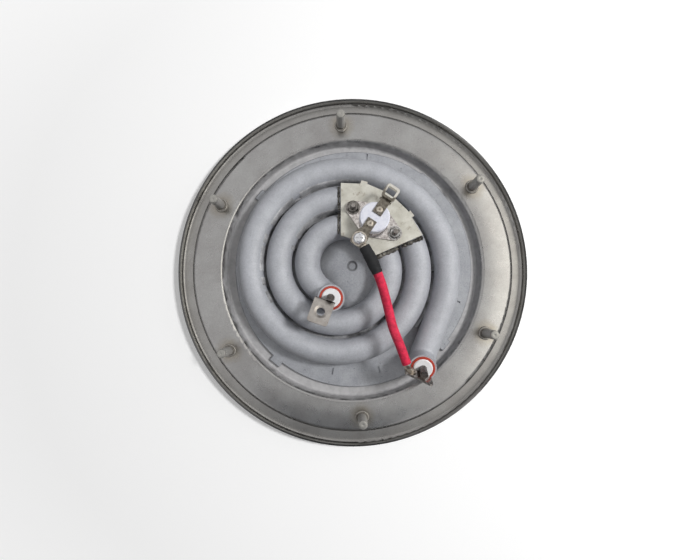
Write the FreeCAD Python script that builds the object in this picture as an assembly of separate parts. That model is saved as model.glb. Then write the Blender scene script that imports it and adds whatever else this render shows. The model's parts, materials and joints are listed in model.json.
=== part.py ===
"""Water boiler heating plate, lying on its water side with the studs pointing up.

A pressed stainless sheet carries an aluminium spreader plate and a flat spiral heating tube in its
recess. A thermostat sits on a bracket across two turns of the tube, and a short lead joins it to the
outer end of the tube. Millimetres, +Z up, origin at the middle of the underside.
"""
import FreeCAD
import Part
import math
import os

Vector = FreeCAD.Vector
UP = Vector(0, 0, 1)
DOWN = Vector(0, 0, -1)

# Base plate: radii to the middle of the sheet, heights of its underside
sheet = 1.0
sheet_bend = 1.9
rim_radius = 99.5
rim_height = 6.0
lip_radius = 91.2
lip_underside = 0.0
flange_underside = 6.5
recess_radius = 74.3
recess_taper = 1.3
plateau_underside = 0.5

# Weld studs on the flange
stud_count = 6
stud_circle = 167.0
stud_first_angle = 34.0
stud_radius = 2.5
stud_length = 16.0
stud_chamfer = 0.5
stud_dimple = 0.4
flash_radius = 4.1
flash_height = 1.0

# Spreader plate
spreader_radius = 68.4
spreader_thickness = 2.0
spreader_shift = (0.8, 0.8)
spreader_edge = 0.5
locating_tab_count = 4
locating_tab_first_angle = 50.7
locating_tab_width = 7.0
locating_tab_gap = 0.3
dimple_radius = 2.8
dimple_depth = 1.2
dimple_place = (0.6, 1.7)
slit_length = 3.6
slit_width = 0.9
slit_depth = 0.9
slit_places = ((67.0, -163.8), (66.6, 82.0), (63.5, -17.3), (59.6, -74.7), (59.6, -100.4))

# Heating tube
tube_radius = 7.2
tube_wall = 0.8
tube_flat = 0.9
coil_centre = (-5.8, 0.4)
coil_pitch = 16.2
coil_first_radius = 21.0
coil_quarters = 10
coil_last_angle = 22.0
inner_arc_radius = 18.0
inner_arc_angle = 52.0
outer_run = 21.5
elbow_radius = 8.8
inner_rise = 90.0
inner_stub = 4.4
outer_rise = 75.0
outer_stub = 6.5

# What the tube holds
fill_gap = 0.03
wire_coil_radius = 2.6
pin_radius = 2.0
pin_flat = 1.6
pin_reach = 9.0
plug_depth = 2.8
seal_wall = 1.3
seal_proud = 0.4
bush_proud = 1.0
seam_reach = 0.7
seam_depth = 1.0

# Terminal blades
blade_thickness = 1.0
blade_width = 11.0
blade_length = 13.5
blade_hole_radius = 2.2
blade_corner = 1.5
blade_foot = 1.6
inner_blade_angle = -109.0
inner_blade_shift = -2.4
inner_blade_lift = 5.0
inner_blade_slope = 20.0
inner_leg_width = 5.4
outer_blade_angle = 154.6
outer_blade_back = 5.5
outer_blade_front = 9.7
outer_rivet_place = 6.6

# Thermostat bracket, drawn about the middle of the coil
bracket_thickness = 1.5
bracket_film = 0.1
bracket_outer_radius = 47.5
bracket_outer_angles = (72.0, 60.2, 51.4, 39.8, 20.7)
bracket_inner_radius = 18.5
bracket_inner_angles = (16.6, 41.8)
bracket_left_angle = 90.0
bracket_left_shift = 1.7
bracket_skirt = 6.0
bracket_skirt_gap = 0.15
nib_angles = (74.4, 36.5)
nib_width = 3.6
nib_reach = 1.1
bracket_screw_radius = 1.5
bracket_screw_length = 7.5
bracket_screw_gap = 0.03

# Thermostat
thermostat_place = (12.1, 25.1)
ear_angle = -32.0
ear_spacing = 26.6
ear_radius = 4.0
ear_hole_radius = 1.7
ear_plate = 0.6
ear_waist_radius = 9.3
cup_radius = 7.9
cup_wall = 0.5
cup_floor = 0.4
cup_height = 3.3
cup_foot_radius = 8.8
cup_foot = 0.5
cup_gap = 0.1
body_radius = 8.0
body_height = 10.4
body_roof = 2.2
chamber_radius = 6.5
spigot_height = 2.0
guide_thickness = 1.4
bimetal_thickness = 0.25
bimetal_rise = 0.5
push_pin_radius = 1.0
contact_gap = 0.05
spring_thickness = 0.3
spring_width = 3.4
spring_drop = 1.35
spring_ends = (-6.0, 5.6)
spring_bends = (-2.3, -1.3)
nut_width = 5.5
nut_height = 2.2
nut_flange_radius = 3.8
nut_flange = 0.6
nut_crown = 1.0
nut_crown_slope = 0.2

# Thermostat terminals and their rivets
tab_angle = 56.0
tab_thickness = 0.8
tab_width = 5.2
tab_start = 1.9
tab_barb_place = 9.3
tab_barb_length = 1.3
tab_barb_reach = 0.7
rivet_place = 4.4
rivet_radius = 1.15
rivet_head_radius = 1.9
rivet_head = 0.5
rivet_bore_radius = 0.5
rivet_gap = 0.03
collar_place = 14.6
collar_size = 7.6
collar_hole = 5.0
collar_corner = 1.7
collar_height = 3.3

# Clamp screw and nut
screw_radius = 2.0
screw_head_radius = 3.1
screw_head = 2.3
screw_cross = 0.9
screw_cross_depth = 1.2
clamp_nut_size = 7.0
clamp_nut_height = 2.4
screw_gap = 0.03

# Lead and the terminals at its ends
conductor_radius = 1.3
insulation_radius = 2.4
shrink_wall = 0.6
crimp_radius = 1.85
crimp_length = 5.0
crimp_gap = 0.03
crimp_closed = 0.3
lead_set_back = 0.5
strap_thickness = 0.8
strap_width = 3.0
strap_bend = 0.6
ring_radius = 3.9
ring_hole_radius = 2.15
ring_neck = 3.6
ring_step_run = 0.6
ring_step = 1.4
ring_heading = -61.5
flag_radius = 3.0
flag_neck = 3.4
flag_tilt = 45.0
flag_run = 1.3
flag_rivet_radius = 1.4
flag_rivet_head_radius = 2.2
flag_rivet_head = 0.8
first_run = 9.5
last_run = 10.0

# Middle of the lead's route, chosen by hand
lead_middle = (
    Vector(15.0, -9.5, 33.6),
    Vector(18.6, -22.5, 30.8),
    Vector(20.8, -32.5, 30.2),
)

# Heights that follow from the stack
recess_floor = plateau_underside + sheet
flange_top = flange_underside + sheet
spreader_top = recess_floor + spreader_thickness
tube_level = spreader_top + tube_radius - tube_flat
bore_radius = tube_radius - tube_wall
bracket_underside = tube_level + tube_radius + bracket_film
bracket_top = bracket_underside + bracket_thickness
bush_radius = bore_radius - seal_wall


def plan(radius, degrees, height=0.0, centre=(0.0, 0.0)):
    """Point at a polar place in plan."""
    angle = math.radians(degrees)
    x = centre[0] + radius * math.cos(angle)
    y = centre[1] + radius * math.sin(angle)
    return Vector(x, y, height)


def rotated(vector, axis, degrees):
    return FreeCAD.Rotation(axis, degrees).multVec(vector)


def frame_at(origin, axis, side):
    """Placement whose local Z is axis and whose local X is nearest to side."""
    local_z = FreeCAD.Vector(axis).normalize()
    local_y = local_z.cross(side).normalize()
    local_x = local_y.cross(local_z)
    rotation = FreeCAD.Rotation(local_x, local_y, local_z, "ZXY")
    return FreeCAD.Placement(origin, rotation)


def placed(shape, placement):
    moved = shape.copy()
    moved.Placement = placement.multiply(moved.Placement)
    return moved


def revolved(points):
    """Solid of revolution about Z from a closed outline of (radius, height) points."""
    corners = [Vector(r, 0, z) for r, z in points]
    face = Part.Face(Part.makePolygon(corners + corners[:1]))
    return face.revolve(Vector(), UP, 360)


def disc(radius, height, base=0.0, x=0.0, y=0.0):
    return Part.makeCylinder(radius, height, Vector(x, y, base))


def block(x0, x1, y0, y1, z0, z1):
    return Part.makeBox(x1 - x0, y1 - y0, z1 - z0, Vector(x0, y0, z0))


def prism(points, height):
    """Upright prism on a closed outline of points at its base."""
    return Part.Face(Part.makePolygon(points + points[:1])).extrude(Vector(0, 0, height))


def rounded_square(size, corner, height, base, x=0.0):
    half = size / 2
    solid = block(x - half, x + half, -half, half, base, base + height)
    uprights = [e for e in solid.Edges if abs(e.tangentAt(e.FirstParameter).z) > 0.9]
    return solid.makeFillet(corner, uprights)


def bent_strip(points, bend, thickness):
    """Face of one thickness along a line of (x, z) points, with every corner bent to one radius."""
    line = [Vector(x, 0, z) for x, z in points]
    headings = [(b - a).normalize() for a, b in zip(line, line[1:])]
    sides = []
    for side in (1, -1):
        reach = side * thickness / 2
        edges = []
        here = line[0] + Vector(-headings[0].z, 0, headings[0].x) * reach
        for corner, before, after in zip(line[1:], headings, headings[1:]):
            turn = math.atan2(before.x * after.z - before.z * after.x, before.dot(after))
            left = math.copysign(1, turn)
            setback = bend * math.tan(abs(turn) / 2)
            centre = corner - before * setback + Vector(-before.z, 0, before.x) * (bend * left)
            radius = bend - reach * left
            start = corner - before * setback + Vector(-before.z, 0, before.x) * reach
            end = corner + after * setback + Vector(-after.z, 0, after.x) * reach
            middle = centre + (corner - centre).normalize() * radius
            edges.append(Part.LineSegment(here, start).toShape())
            edges.append(Part.Arc(start, middle, end).toShape())
            here = end
        last = line[-1] + Vector(-headings[-1].z, 0, headings[-1].x) * reach
        edges.append(Part.LineSegment(here, last).toShape())
        sides.append(edges)
    left_edges, right_edges = sides
    ends = (
        Part.LineSegment(left_edges[-1].Vertexes[-1].Point, right_edges[-1].Vertexes[-1].Point),
        Part.LineSegment(right_edges[0].Vertexes[0].Point, left_edges[0].Vertexes[0].Point),
    )
    loop = left_edges + [ends[0].toShape()] + right_edges[::-1] + [ends[1].toShape()]
    return Part.Face(Part.Wire(loop))


class Track:
    """A path of tangent lines and arcs, laid from a point in a heading."""

    def __init__(self, point, heading):
        self.point = Vector(point)
        self.heading = Vector(heading)
        self.edges = []

    def line(self, length):
        end = self.point + self.heading * length
        self.edges.append(Part.LineSegment(self.point, end).toShape())
        self.point = end

    def arc(self, radius, degrees, axis):
        centre = self.point + axis.cross(self.heading) * radius
        spoke = self.point - centre
        middle = centre + rotated(spoke, axis, degrees / 2)
        end = centre + rotated(spoke, axis, degrees)
        self.edges.append(Part.Arc(self.point, middle, end).toShape())
        self.heading = rotated(self.heading, axis, degrees)
        self.point = end

    def rise(self, radius, degrees):
        self.arc(radius, degrees, self.heading.cross(UP).normalize())


def pipe(edges, radius):
    """Round bar along a path."""
    path = Part.Wire(edges)
    first = path.OrderedEdges[0]
    start = path.OrderedVertexes[0].Point
    parameter = first.FirstParameter
    if (first.valueAt(parameter) - start).Length > 1e-6:
        parameter = first.LastParameter
    ring = Part.Wire(Part.makeCircle(radius, start, first.tangentAt(parameter)))
    return path.makePipeShell([ring], True, False)


def base_plate():
    half = sheet / 2
    plateau = plateau_underside + half
    flange = flange_underside + half
    lip = lip_underside + half
    points = [
        (0.0, plateau),
        (recess_radius - recess_taper, plateau),
        (recess_radius, flange),
        (lip_radius, flange),
        (lip_radius, lip),
        (rim_radius, lip),
        (rim_radius, rim_height),
    ]
    return bent_strip(points, sheet_bend, sheet).revolve(Vector(), UP, 360)


def weld_stud(number):
    """Stud with a dimpled tip and the ring of flash that welding leaves at its foot."""
    outline = [
        (0.0, 0.0),
        (flash_radius, 0.0),
        (flash_radius, flash_height * 0.4),
        (flash_radius - flash_height * 0.6, flash_height),
        (stud_radius, flash_height),
        (stud_radius, stud_length - stud_chamfer),
        (stud_radius - stud_chamfer, stud_length),
        (stud_dimple, stud_length),
        (0.0, stud_length - stud_dimple),
    ]
    stud = revolved(outline)
    angle = stud_first_angle + number * 360.0 / stud_count
    stud.translate(plan(stud_circle / 2, angle, flange_top))
    return stud


def spreader_plate():
    """Disc with a soft top edge, tabs that centre it in the recess, a dimple and short slits."""
    x, y = spreader_shift
    plate = disc(spreader_radius, spreader_thickness, recess_floor, x, y)
    wall_foot = recess_radius - recess_taper - sheet / 2
    tab_reach = wall_foot - sheet_bend - locating_tab_gap
    half = locating_tab_width / 2
    for number in range(locating_tab_count):
        tab = block(0, tab_reach + 5, -half, half, recess_floor, spreader_top)
        angle = locating_tab_first_angle + number * 360.0 / locating_tab_count
        tab.rotate(Vector(), UP, angle)
        plate = plate.fuse(tab)
    plate = plate.common(disc(tab_reach, spreader_thickness, recess_floor))
    plate = plate.removeSplitter()
    rim = [e for e in plate.Edges if e.BoundBox.ZMin > spreader_top - 0.01]
    plate = plate.makeChamfer(spreader_edge, rim)
    dimple_base = spreader_top - dimple_depth
    plate = plate.cut(disc(dimple_radius, dimple_depth, dimple_base, *dimple_place))
    for radius, angle in slit_places:
        near = radius - slit_length / 2
        slit_base = spreader_top - slit_depth
        slit = block(near, near + slit_length, -slit_width / 2, slit_width / 2, slit_base, spreader_top)
        slit.rotate(Vector(), UP, angle)
        plate = plate.cut(slit)
    return plate


def coil_track():
    """The spiral in plan: quarter turns about the corners of a small square, then a straight run."""
    step = coil_pitch / 4
    corner = Vector(coil_centre[0] + step / 2, coil_centre[1] + step / 2, tube_level)
    track = Track(corner - Vector(coil_first_radius, 0, 0), Vector(0, 1, 0))
    for quarter in range(coil_quarters):
        track.arc(coil_first_radius + quarter * step, 90, DOWN)
    track.arc(coil_first_radius + coil_quarters * step, coil_last_angle, DOWN)
    track.line(outer_run)
    return track


def inner_track():
    """The tighter arc at the inner end, laid backwards from the start of the spiral."""
    step = coil_pitch / 4
    corner = Vector(coil_centre[0] + step / 2, coil_centre[1] + step / 2, tube_level)
    track = Track(corner - Vector(coil_first_radius, 0, 0), Vector(0, -1, 0))
    track.arc(inner_arc_radius, inner_arc_angle, UP)
    return track


def tube_end(track, rise, stub):
    """Elbow and straight stub from the end of a track."""
    end = Track(track.point, track.heading)
    end.rise(elbow_radius, rise)
    end.line(stub)
    return end


spiral = coil_track()
inner_arc = inner_track()
inner_end = tube_end(inner_arc, inner_rise, inner_stub)
outer_end = tube_end(spiral, outer_rise, outer_stub)
flat_path = inner_arc.edges[::-1] + spiral.edges


def tube_path(shorter):
    """Whole path of the tube, with both stubs cut back by one length."""
    inner = tube_end(inner_arc, inner_rise, inner_stub - shorter)
    outer = tube_end(spiral, outer_rise, outer_stub - shorter)
    return inner.edges[::-1] + flat_path + outer.edges


def flattened(path, radius, floor):
    """Bar along the tube's path, cut level where the tube is pressed flat."""
    below = block(-rim_radius, rim_radius, -rim_radius, rim_radius, 0, floor)
    return pipe(path, radius).cut(below)


def heating_tube():
    """Round tube pressed flat where it is brazed to the spreader plate."""
    outside = flattened(tube_path(0.0), tube_radius, spreader_top)
    return outside.cut(flattened(tube_path(0.0), bore_radius, spreader_top + tube_wall))


def magnesia_filling():
    floor = spreader_top + tube_wall + fill_gap
    filling = flattened(tube_path(plug_depth), bore_radius - fill_gap, floor)
    filling = filling.cut(pipe(flat_path, wire_coil_radius + fill_gap))
    for track, rise, stub in ((inner_arc, inner_rise, inner_stub), (spiral, outer_rise, outer_stub)):
        filling = filling.cut(pipe(tube_end(track, rise, stub).edges, pin_radius + fill_gap))
    return filling


def resistance_coil():
    """The wound heating wire, as the bar that its turns fill."""
    return pipe(flat_path, wire_coil_radius)


def terminal_pin(track, rise, stub, frame):
    """Pin from the end of the wire coil out of the tube, flatted for its blade."""
    pin = pipe(tube_end(track, rise, stub + pin_reach).edges, pin_radius)
    flat = block(pin_flat, pin_radius + 1, -pin_radius, pin_radius, blade_foot, pin_reach + 1)
    return pin.cut(placed(flat, frame))


def seal_ring():
    outer = bore_radius - fill_gap
    inner = bush_radius + fill_gap
    height = plug_depth + seal_proud
    lip = seal_proud / 2
    outline = [
        (inner, 0.0),
        (outer, 0.0),
        (outer, height - lip),
        (outer - lip, height),
        (inner, height),
    ]
    ring = revolved(outline)
    ring.translate(Vector(0, 0, -plug_depth))
    return ring


def ceramic_bush():
    height = plug_depth + bush_proud
    bevel = bush_proud * 0.4
    outline = [
        (pin_radius + fill_gap, 0.0),
        (bush_radius, 0.0),
        (bush_radius, height - bevel),
        (bush_radius - bevel, height),
        (pin_radius + fill_gap, height),
    ]
    bush = revolved(outline)
    bush.translate(Vector(0, 0, -plug_depth))
    return bush


def inner_blade():
    """Leg welded to the flat of the pin, then a sloping blade with a screw hole."""
    slope = math.radians(inner_blade_slope)
    bend = blade_thickness
    leg_x = pin_flat + blade_thickness / 2
    end_x = leg_x + blade_length * math.cos(slope)
    end_z = inner_blade_lift + blade_length * math.sin(slope)
    points = [(leg_x, blade_foot), (leg_x, inner_blade_lift), (end_x, end_z)]
    face = bent_strip(points, bend, blade_thickness)
    low = inner_blade_shift - blade_width / 2
    high = inner_blade_shift + blade_width / 2
    strip = face.extrude(Vector(0, blade_width, 0))
    strip.translate(Vector(0, low, 0))
    leg_top = inner_blade_lift - bend / 2
    spare_x = leg_x + 0.6 * blade_thickness
    spare = block(0, spare_x, low - 1, high - inner_leg_width, blade_foot - 1, leg_top)
    strip = strip.cut(spare)
    middle = Vector((leg_x + end_x) / 2, inner_blade_shift, (inner_blade_lift + end_z) / 2)
    across = Vector(-math.sin(slope), 0, math.cos(slope))
    reach = 3 * blade_thickness
    hole = Part.makeCylinder(blade_hole_radius, 2 * reach, middle - across * reach, across)
    strip = strip.cut(hole)
    tip_x = end_x - 2 * blade_thickness
    tip = [e for e in strip.Edges if e.CenterOfMass.x > tip_x and is_along(e, across)]
    return strip.makeFillet(blade_corner, tip)


def is_along(edge, direction):
    if edge.Curve.TypeId != "Part::GeomLine":
        return False
    return abs(edge.tangentAt(edge.FirstParameter).dot(direction)) > 0.99


def outer_blade():
    """Upright blade welded to the flat of the pin, with a hole for the rivet of the lead."""
    top = blade_foot + blade_width
    blade = block(-outer_blade_back, outer_blade_front, pin_flat, pin_flat + blade_thickness, blade_foot, top)
    corners = [e for e in blade.Edges if is_along(e, Vector(0, 1, 0))]
    blade = blade.makeFillet(blade_corner, corners)
    rivet_hole = disc(flag_rivet_radius + crimp_gap, blade_thickness * 4, -blade_thickness * 2)
    return blade.cut(placed(rivet_hole, flag_seat))


# Seat of the lead's end on the outer blade: X along the blade, Z away from it
flag_seat = FreeCAD.Placement(
    Vector(outer_rivet_place, pin_flat, blade_foot + blade_width / 2),
    FreeCAD.Rotation(Vector(1, 0, 0), 90),
)
inner_frame = frame_at(inner_end.point, inner_end.heading, plan(1, inner_blade_angle))


def outer_pin_frame():
    """Local X is the blade's long direction and local Y points away from the middle of the plate."""
    along = plan(1, outer_blade_angle)
    return frame_at(outer_end.point, outer_end.heading, along)


outer_frame = outer_pin_frame()


def bracket_corner(radius, degrees):
    return plan(radius, degrees, bracket_underside, coil_centre)


def bracket_outline():
    """Corners from the outer end of the left side, clockwise to its inner end."""
    left = [
        bracket_corner(bracket_outer_radius - bracket_left_shift, bracket_left_angle),
        bracket_corner(bracket_inner_radius - bracket_left_shift, bracket_left_angle),
    ]
    outer = [bracket_corner(bracket_outer_radius, a) for a in bracket_outer_angles]
    inner = [bracket_corner(bracket_inner_radius, a) for a in bracket_inner_angles]
    return left[:1] + outer + inner + left[1:]


def skirt(start, end):
    """Side of the bracket folded down along the edge from start to end."""
    along = (end - start).normalize()
    inward = along.cross(UP).normalize() * bracket_thickness
    drop = Vector(0, 0, -bracket_skirt)
    corners = [start + drop, end + drop, end + inward + drop, start + inward + drop]
    return prism(corners, bracket_skirt + bracket_thickness)


def thermostat_bracket():
    """Sheet across two turns of the tube, with both sides folded down and arched over the turns."""
    outline = bracket_outline()
    bracket = prism(outline, bracket_thickness)
    for angle in nib_angles:
        reach = bracket_outer_radius + nib_reach
        half = nib_width / 2
        nib = block(reach - 5, reach, -half, half, bracket_underside, bracket_top)
        nib.rotate(Vector(), UP, angle)
        nib.translate(Vector(coil_centre[0], coil_centre[1], 0))
        bracket = bracket.fuse(nib)
    right = len(bracket_outer_angles)
    sides = ((outline[-1], outline[0]), (outline[right], outline[right + 1]))
    for start, end in sides:
        side = skirt(start, end)
        bracket = bracket.fuse(side)
    bracket = bracket.cut(pipe(flat_path, tube_radius + bracket_skirt_gap))
    return bracket.removeSplitter()


thermostat_frame = FreeCAD.Placement(
    Vector(thermostat_place[0], thermostat_place[1], bracket_top),
    FreeCAD.Rotation(UP, 0),
)


def braze_seams():
    """Filler between the bracket and the two turns that it lies on, from the inner turn outwards."""
    lowest = bracket_underside - seam_depth
    under = [Vector(p.x, p.y, lowest) for p in bracket_outline()]
    seam = prism(under, seam_depth).common(pipe(flat_path, tube_radius + seam_reach))
    seam = seam.cut(pipe(flat_path, tube_radius)).cut(thermostat_bracket())
    middle = Vector(coil_centre[0], coil_centre[1], 0)
    return sorted(seam.Solids, key=lambda s: (s.CenterOfMass - middle).Length)


def on_thermostat(shape, angle):
    turned = FreeCAD.Placement(Vector(), FreeCAD.Rotation(UP, angle))
    return placed(shape, thermostat_frame.multiply(turned))


def bracket_screw(side):
    end = bracket_screw_length
    chamfer = bracket_screw_radius * 0.25
    outline = [
        (0.0, 0.0),
        (bracket_screw_radius, 0.0),
        (bracket_screw_radius, end - chamfer),
        (bracket_screw_radius - chamfer, end),
        (0.0, end),
    ]
    screw = revolved(outline)
    screw.translate(Vector(side * ear_spacing / 2, 0, 0))
    return on_thermostat(screw, ear_angle)


def bracket_nut(side):
    """Hexagon nut with a washer face, on the ear of the thermostat."""
    seat = cup_foot + ear_plate
    corner_radius = nut_width / 2 / math.cos(math.radians(30))
    hexagon = [plan(corner_radius, 60 * k) for k in range(6)]
    nut = prism(hexagon, nut_flange + nut_height)
    top = nut_flange + nut_height
    outline = [
        (0.0, 0.0),
        (corner_radius, 0.0),
        (corner_radius, top - nut_crown),
        (nut_width / 2 - nut_crown_slope, top),
        (0.0, top),
    ]
    nut = nut.common(revolved(outline))
    nut = nut.fuse(disc(nut_flange_radius, nut_flange))
    nut = nut.cut(disc(bracket_screw_radius + bracket_screw_gap, top + 2, -1))
    nut.translate(Vector(side * ear_spacing / 2, 0, seat))
    return on_thermostat(nut, ear_angle)


def thermostat_flange():
    """Rhombus plate over the foot of the cup, with an ear for each screw."""
    half = ear_spacing / 2
    lean = math.degrees(math.acos((ear_waist_radius - ear_radius) / half))
    plate = disc(ear_waist_radius, ear_plate)
    for turn in (0, 180):
        ear = plan(half, turn)
        near = [plan(ear_waist_radius, turn + lean), plan(ear_waist_radius, turn - lean)]
        far = [ear + plan(ear_radius, turn - lean), ear + plan(ear_radius, turn + lean)]
        plate = plate.fuse(prism(near + far, ear_plate))
        plate = plate.fuse(disc(ear_radius, ear_plate, 0, ear.x, ear.y))
    plate = plate.removeSplitter()
    for side in (1, -1):
        plate = plate.cut(disc(ear_hole_radius, ear_plate, 0, side * half))
    plate = plate.cut(disc(cup_radius + cup_gap, ear_plate))
    plate.translate(Vector(0, 0, cup_foot))
    return on_thermostat(plate, ear_angle)


def thermostat_cup():
    inner = cup_radius - cup_wall
    outline = [
        (0.0, 0.0),
        (cup_foot_radius, 0.0),
        (cup_foot_radius, cup_foot),
        (cup_radius, cup_foot),
        (cup_radius, cup_height),
        (inner, cup_height),
        (inner, cup_floor),
        (0.0, cup_floor),
    ]
    return on_thermostat(revolved(outline), 0)


def body_seat():
    return cup_height + cup_gap


def thermostat_body():
    """Ceramic body with its spigot in the cup and a chamber for the switch."""
    spigot = cup_radius - cup_wall - cup_gap
    seat = body_seat()
    roof = body_height - body_roof
    bevel = 0.5
    outline = [
        (chamber_radius, seat - spigot_height),
        (spigot, seat - spigot_height),
        (spigot, seat),
        (body_radius, seat),
        (body_radius, body_height - bevel),
        (body_radius - bevel, body_height),
        (0.0, body_height),
        (0.0, roof),
        (chamber_radius, roof),
    ]
    body = revolved(outline)
    for side in (1, -1):
        body = body.cut(disc(rivet_radius + rivet_gap, body_roof + 2, roof - 1, side * rivet_place))
    return on_thermostat(body, tab_angle)


def guide_plate():
    base = body_seat() - spigot_height
    plate = disc(chamber_radius - cup_gap / 2, guide_thickness, base)
    plate = plate.cut(disc(push_pin_radius + cup_gap, guide_thickness + 2, base - 1))
    return on_thermostat(plate, 0)


def bimetal_disc():
    """Shallow dish, bowed up in the middle, that lies on the floor of the cup."""
    radius = cup_radius - cup_wall - 4 * cup_gap
    ball = (radius ** 2 + bimetal_rise ** 2) / (2 * bimetal_rise)
    centre = Vector(0, 0, cup_floor + bimetal_rise - ball)
    shell = Part.makeSphere(ball + bimetal_thickness, centre).cut(Part.makeSphere(ball, centre))
    dish = shell.common(disc(radius, bimetal_rise + 2 * bimetal_thickness, cup_floor))
    return on_thermostat(dish, 0)


def spring_level():
    """Middle height of the contact spring where the push pin meets it."""
    return body_height - body_roof - spring_thickness / 2 - spring_drop


def push_pin():
    base = cup_floor + bimetal_rise + bimetal_thickness + contact_gap
    top = spring_level() - spring_thickness / 2 - contact_gap
    return on_thermostat(disc(push_pin_radius, top - base, base), 0)


def contact_spring():
    """Bent strip held by one rivet, with a contact button under the other."""
    high = body_height - body_roof - spring_thickness / 2
    low = spring_level()
    back, front = spring_ends
    points = [(back, high), (spring_bends[0], high), (spring_bends[1], low), (front, low)]
    half = spring_width / 2
    strip = bent_strip(points, spring_thickness, spring_thickness).extrude(Vector(0, spring_width, 0))
    strip.translate(Vector(0, -half, 0))
    strip = strip.cut(disc(rivet_radius + rivet_gap, 2, high - 1, -rivet_place))
    button_top = body_height - body_roof - rivet_head - contact_gap
    button = disc(push_pin_radius, button_top - low, low, rivet_place)
    return on_thermostat(strip.fuse(button).removeSplitter(), tab_angle)


def thermostat_rivet(side):
    """Hollow rivet through a terminal and the roof. The lower one also holds the contact spring."""
    roof = body_height - body_roof
    tail = roof - rivet_head
    if side < 0:
        tail -= spring_thickness
    top = body_height + tab_thickness
    outline = [
        (0.0, tail),
        (rivet_head_radius, tail),
        (rivet_head_radius, tail + rivet_head),
        (rivet_radius, tail + rivet_head),
        (rivet_radius, top),
        (rivet_head_radius, top),
        (rivet_head_radius - 0.3, top + rivet_head * 0.7),
        (rivet_head_radius - 0.8, top + rivet_head),
        (rivet_bore_radius, top + rivet_head),
        (rivet_bore_radius, top - 1.0),
        (0.0, top - 1.0),
    ]
    rivet = revolved(outline)
    rivet.translate(Vector(side * rivet_place, 0, 0))
    return on_thermostat(rivet, tab_angle)


def thermostat_terminal(angle):
    """Riveted strip with side barbs and a raised square collar at its end."""
    half = tab_width / 2
    base = body_height
    top = base + tab_thickness
    strip = block(tab_start, collar_place, -half, half, base, top)
    barb_half = half + tab_barb_reach
    barb = block(tab_barb_place, tab_barb_place + tab_barb_length, -barb_half, barb_half, base, top)
    collar = rounded_square(collar_size, collar_corner, collar_height, base, collar_place)
    strip = strip.fuse(barb).fuse(collar).removeSplitter()
    hole_corner = collar_corner * 0.45
    strip = strip.cut(rounded_square(collar_hole, hole_corner, collar_height + 2, base - 1, collar_place))
    strip = strip.cut(disc(rivet_radius + rivet_gap, tab_thickness, base, rivet_place))
    return on_thermostat(strip, angle)


# Axis of the clamp screw, with height zero on top of the collar
clamp_frame = FreeCAD.Placement(
    plan(collar_place, tab_angle + 180, bracket_top + body_height + collar_height, thermostat_place),
    FreeCAD.Rotation(UP, tab_angle + 180),
)


def clamp_screw():
    """Pan head screw with a cross recess, down through the collar into the square nut."""
    seat = strap_thickness
    foot = -collar_height - clamp_nut_height - 0.6
    top = seat + screw_head
    outline = [
        (0.0, foot),
        (screw_radius - 0.4, foot),
        (screw_radius, foot + 0.4),
        (screw_radius, seat),
        (screw_head_radius, seat),
        (screw_head_radius, seat + screw_head * 0.45),
        (screw_head_radius * 0.82, seat + screw_head * 0.85),
        (screw_head_radius * 0.55, top),
        (0.0, top),
    ]
    screw = revolved(outline)
    reach = screw_head_radius * 0.6
    half = screw_cross / 2
    base = top - screw_cross_depth
    screw = screw.cut(block(-reach, reach, -half, half, base, top + 1))
    screw = screw.cut(block(-half, half, -reach, reach, base, top + 1))
    screw.rotate(Vector(), UP, 30)
    return placed(screw, clamp_frame)


def clamp_nut():
    top = -collar_height
    nut = rounded_square(clamp_nut_size, 0.5, clamp_nut_height, top - clamp_nut_height)
    nut = nut.cut(disc(screw_radius + screw_gap, clamp_nut_height + 2, top - clamp_nut_height - 1))
    return placed(nut, clamp_frame)


def neck_line(neck, *corners):
    """Middle line of a strap that leaves its ring level and then turns at each corner."""
    level = strap_thickness / 2
    return [Vector(0, 0, level), Vector(neck, 0, level)] + [Vector(x, 0, level + z) for x, z in corners]


def ring_line():
    step_end = ring_neck + ring_step_run
    return neck_line(ring_neck, (step_end, ring_step), (step_end + ring_step_run, ring_step))


def flag_line():
    tilt = math.radians(flag_tilt)
    return neck_line(flag_neck, (flag_neck + flag_run * math.cos(tilt), flag_run * math.sin(tilt)))


def barrel_start(line):
    """Start and direction of the barrel that stands on the last run of a strap."""
    axis = (line[-1] - line[-2]).normalize()
    across = Vector(-axis.z, 0, axis.x)
    start = line[-1] - axis * crimp_closed + across * (crimp_radius - strap_thickness / 2)
    return start, axis


def crimped_terminal(line, radius, hole_radius):
    """Ring on its seat at height zero, a bent strap and the barrel that grips the conductor."""
    ring = disc(radius, strap_thickness)
    face = bent_strip([(p.x, p.z) for p in line], strap_bend, strap_thickness)
    strap = face.extrude(Vector(0, strap_width, 0))
    strap.translate(Vector(0, -strap_width / 2, 0))
    start, axis = barrel_start(line)
    barrel = Part.makeCylinder(crimp_radius, crimp_length, start, axis)
    bore = Part.makeCylinder(conductor_radius + crimp_gap, crimp_length, start + axis * crimp_closed, axis)
    hole = disc(hole_radius, strap_thickness * 3, -strap_thickness)
    terminal = ring.fuse(strap).fuse(barrel).removeSplitter()
    return terminal.cut(bore).cut(hole)


ring_frame = clamp_frame.multiply(
    FreeCAD.Placement(Vector(), FreeCAD.Rotation(UP, ring_heading - tab_angle - 180))
)
flag_frame = outer_frame.multiply(flag_seat)


def lead_run(line, frame, length):
    """Straight run of the lead from where its insulation meets a terminal."""
    start, axis = barrel_start(line)
    first = start + axis * lead_set_back
    return [frame.multVec(first), frame.multVec(first + axis * length)]


def lead_route():
    start = lead_run(ring_line(), ring_frame, first_run)
    end = lead_run(flag_line(), flag_frame, last_run)
    return start + list(lead_middle) + end[::-1]


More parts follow.
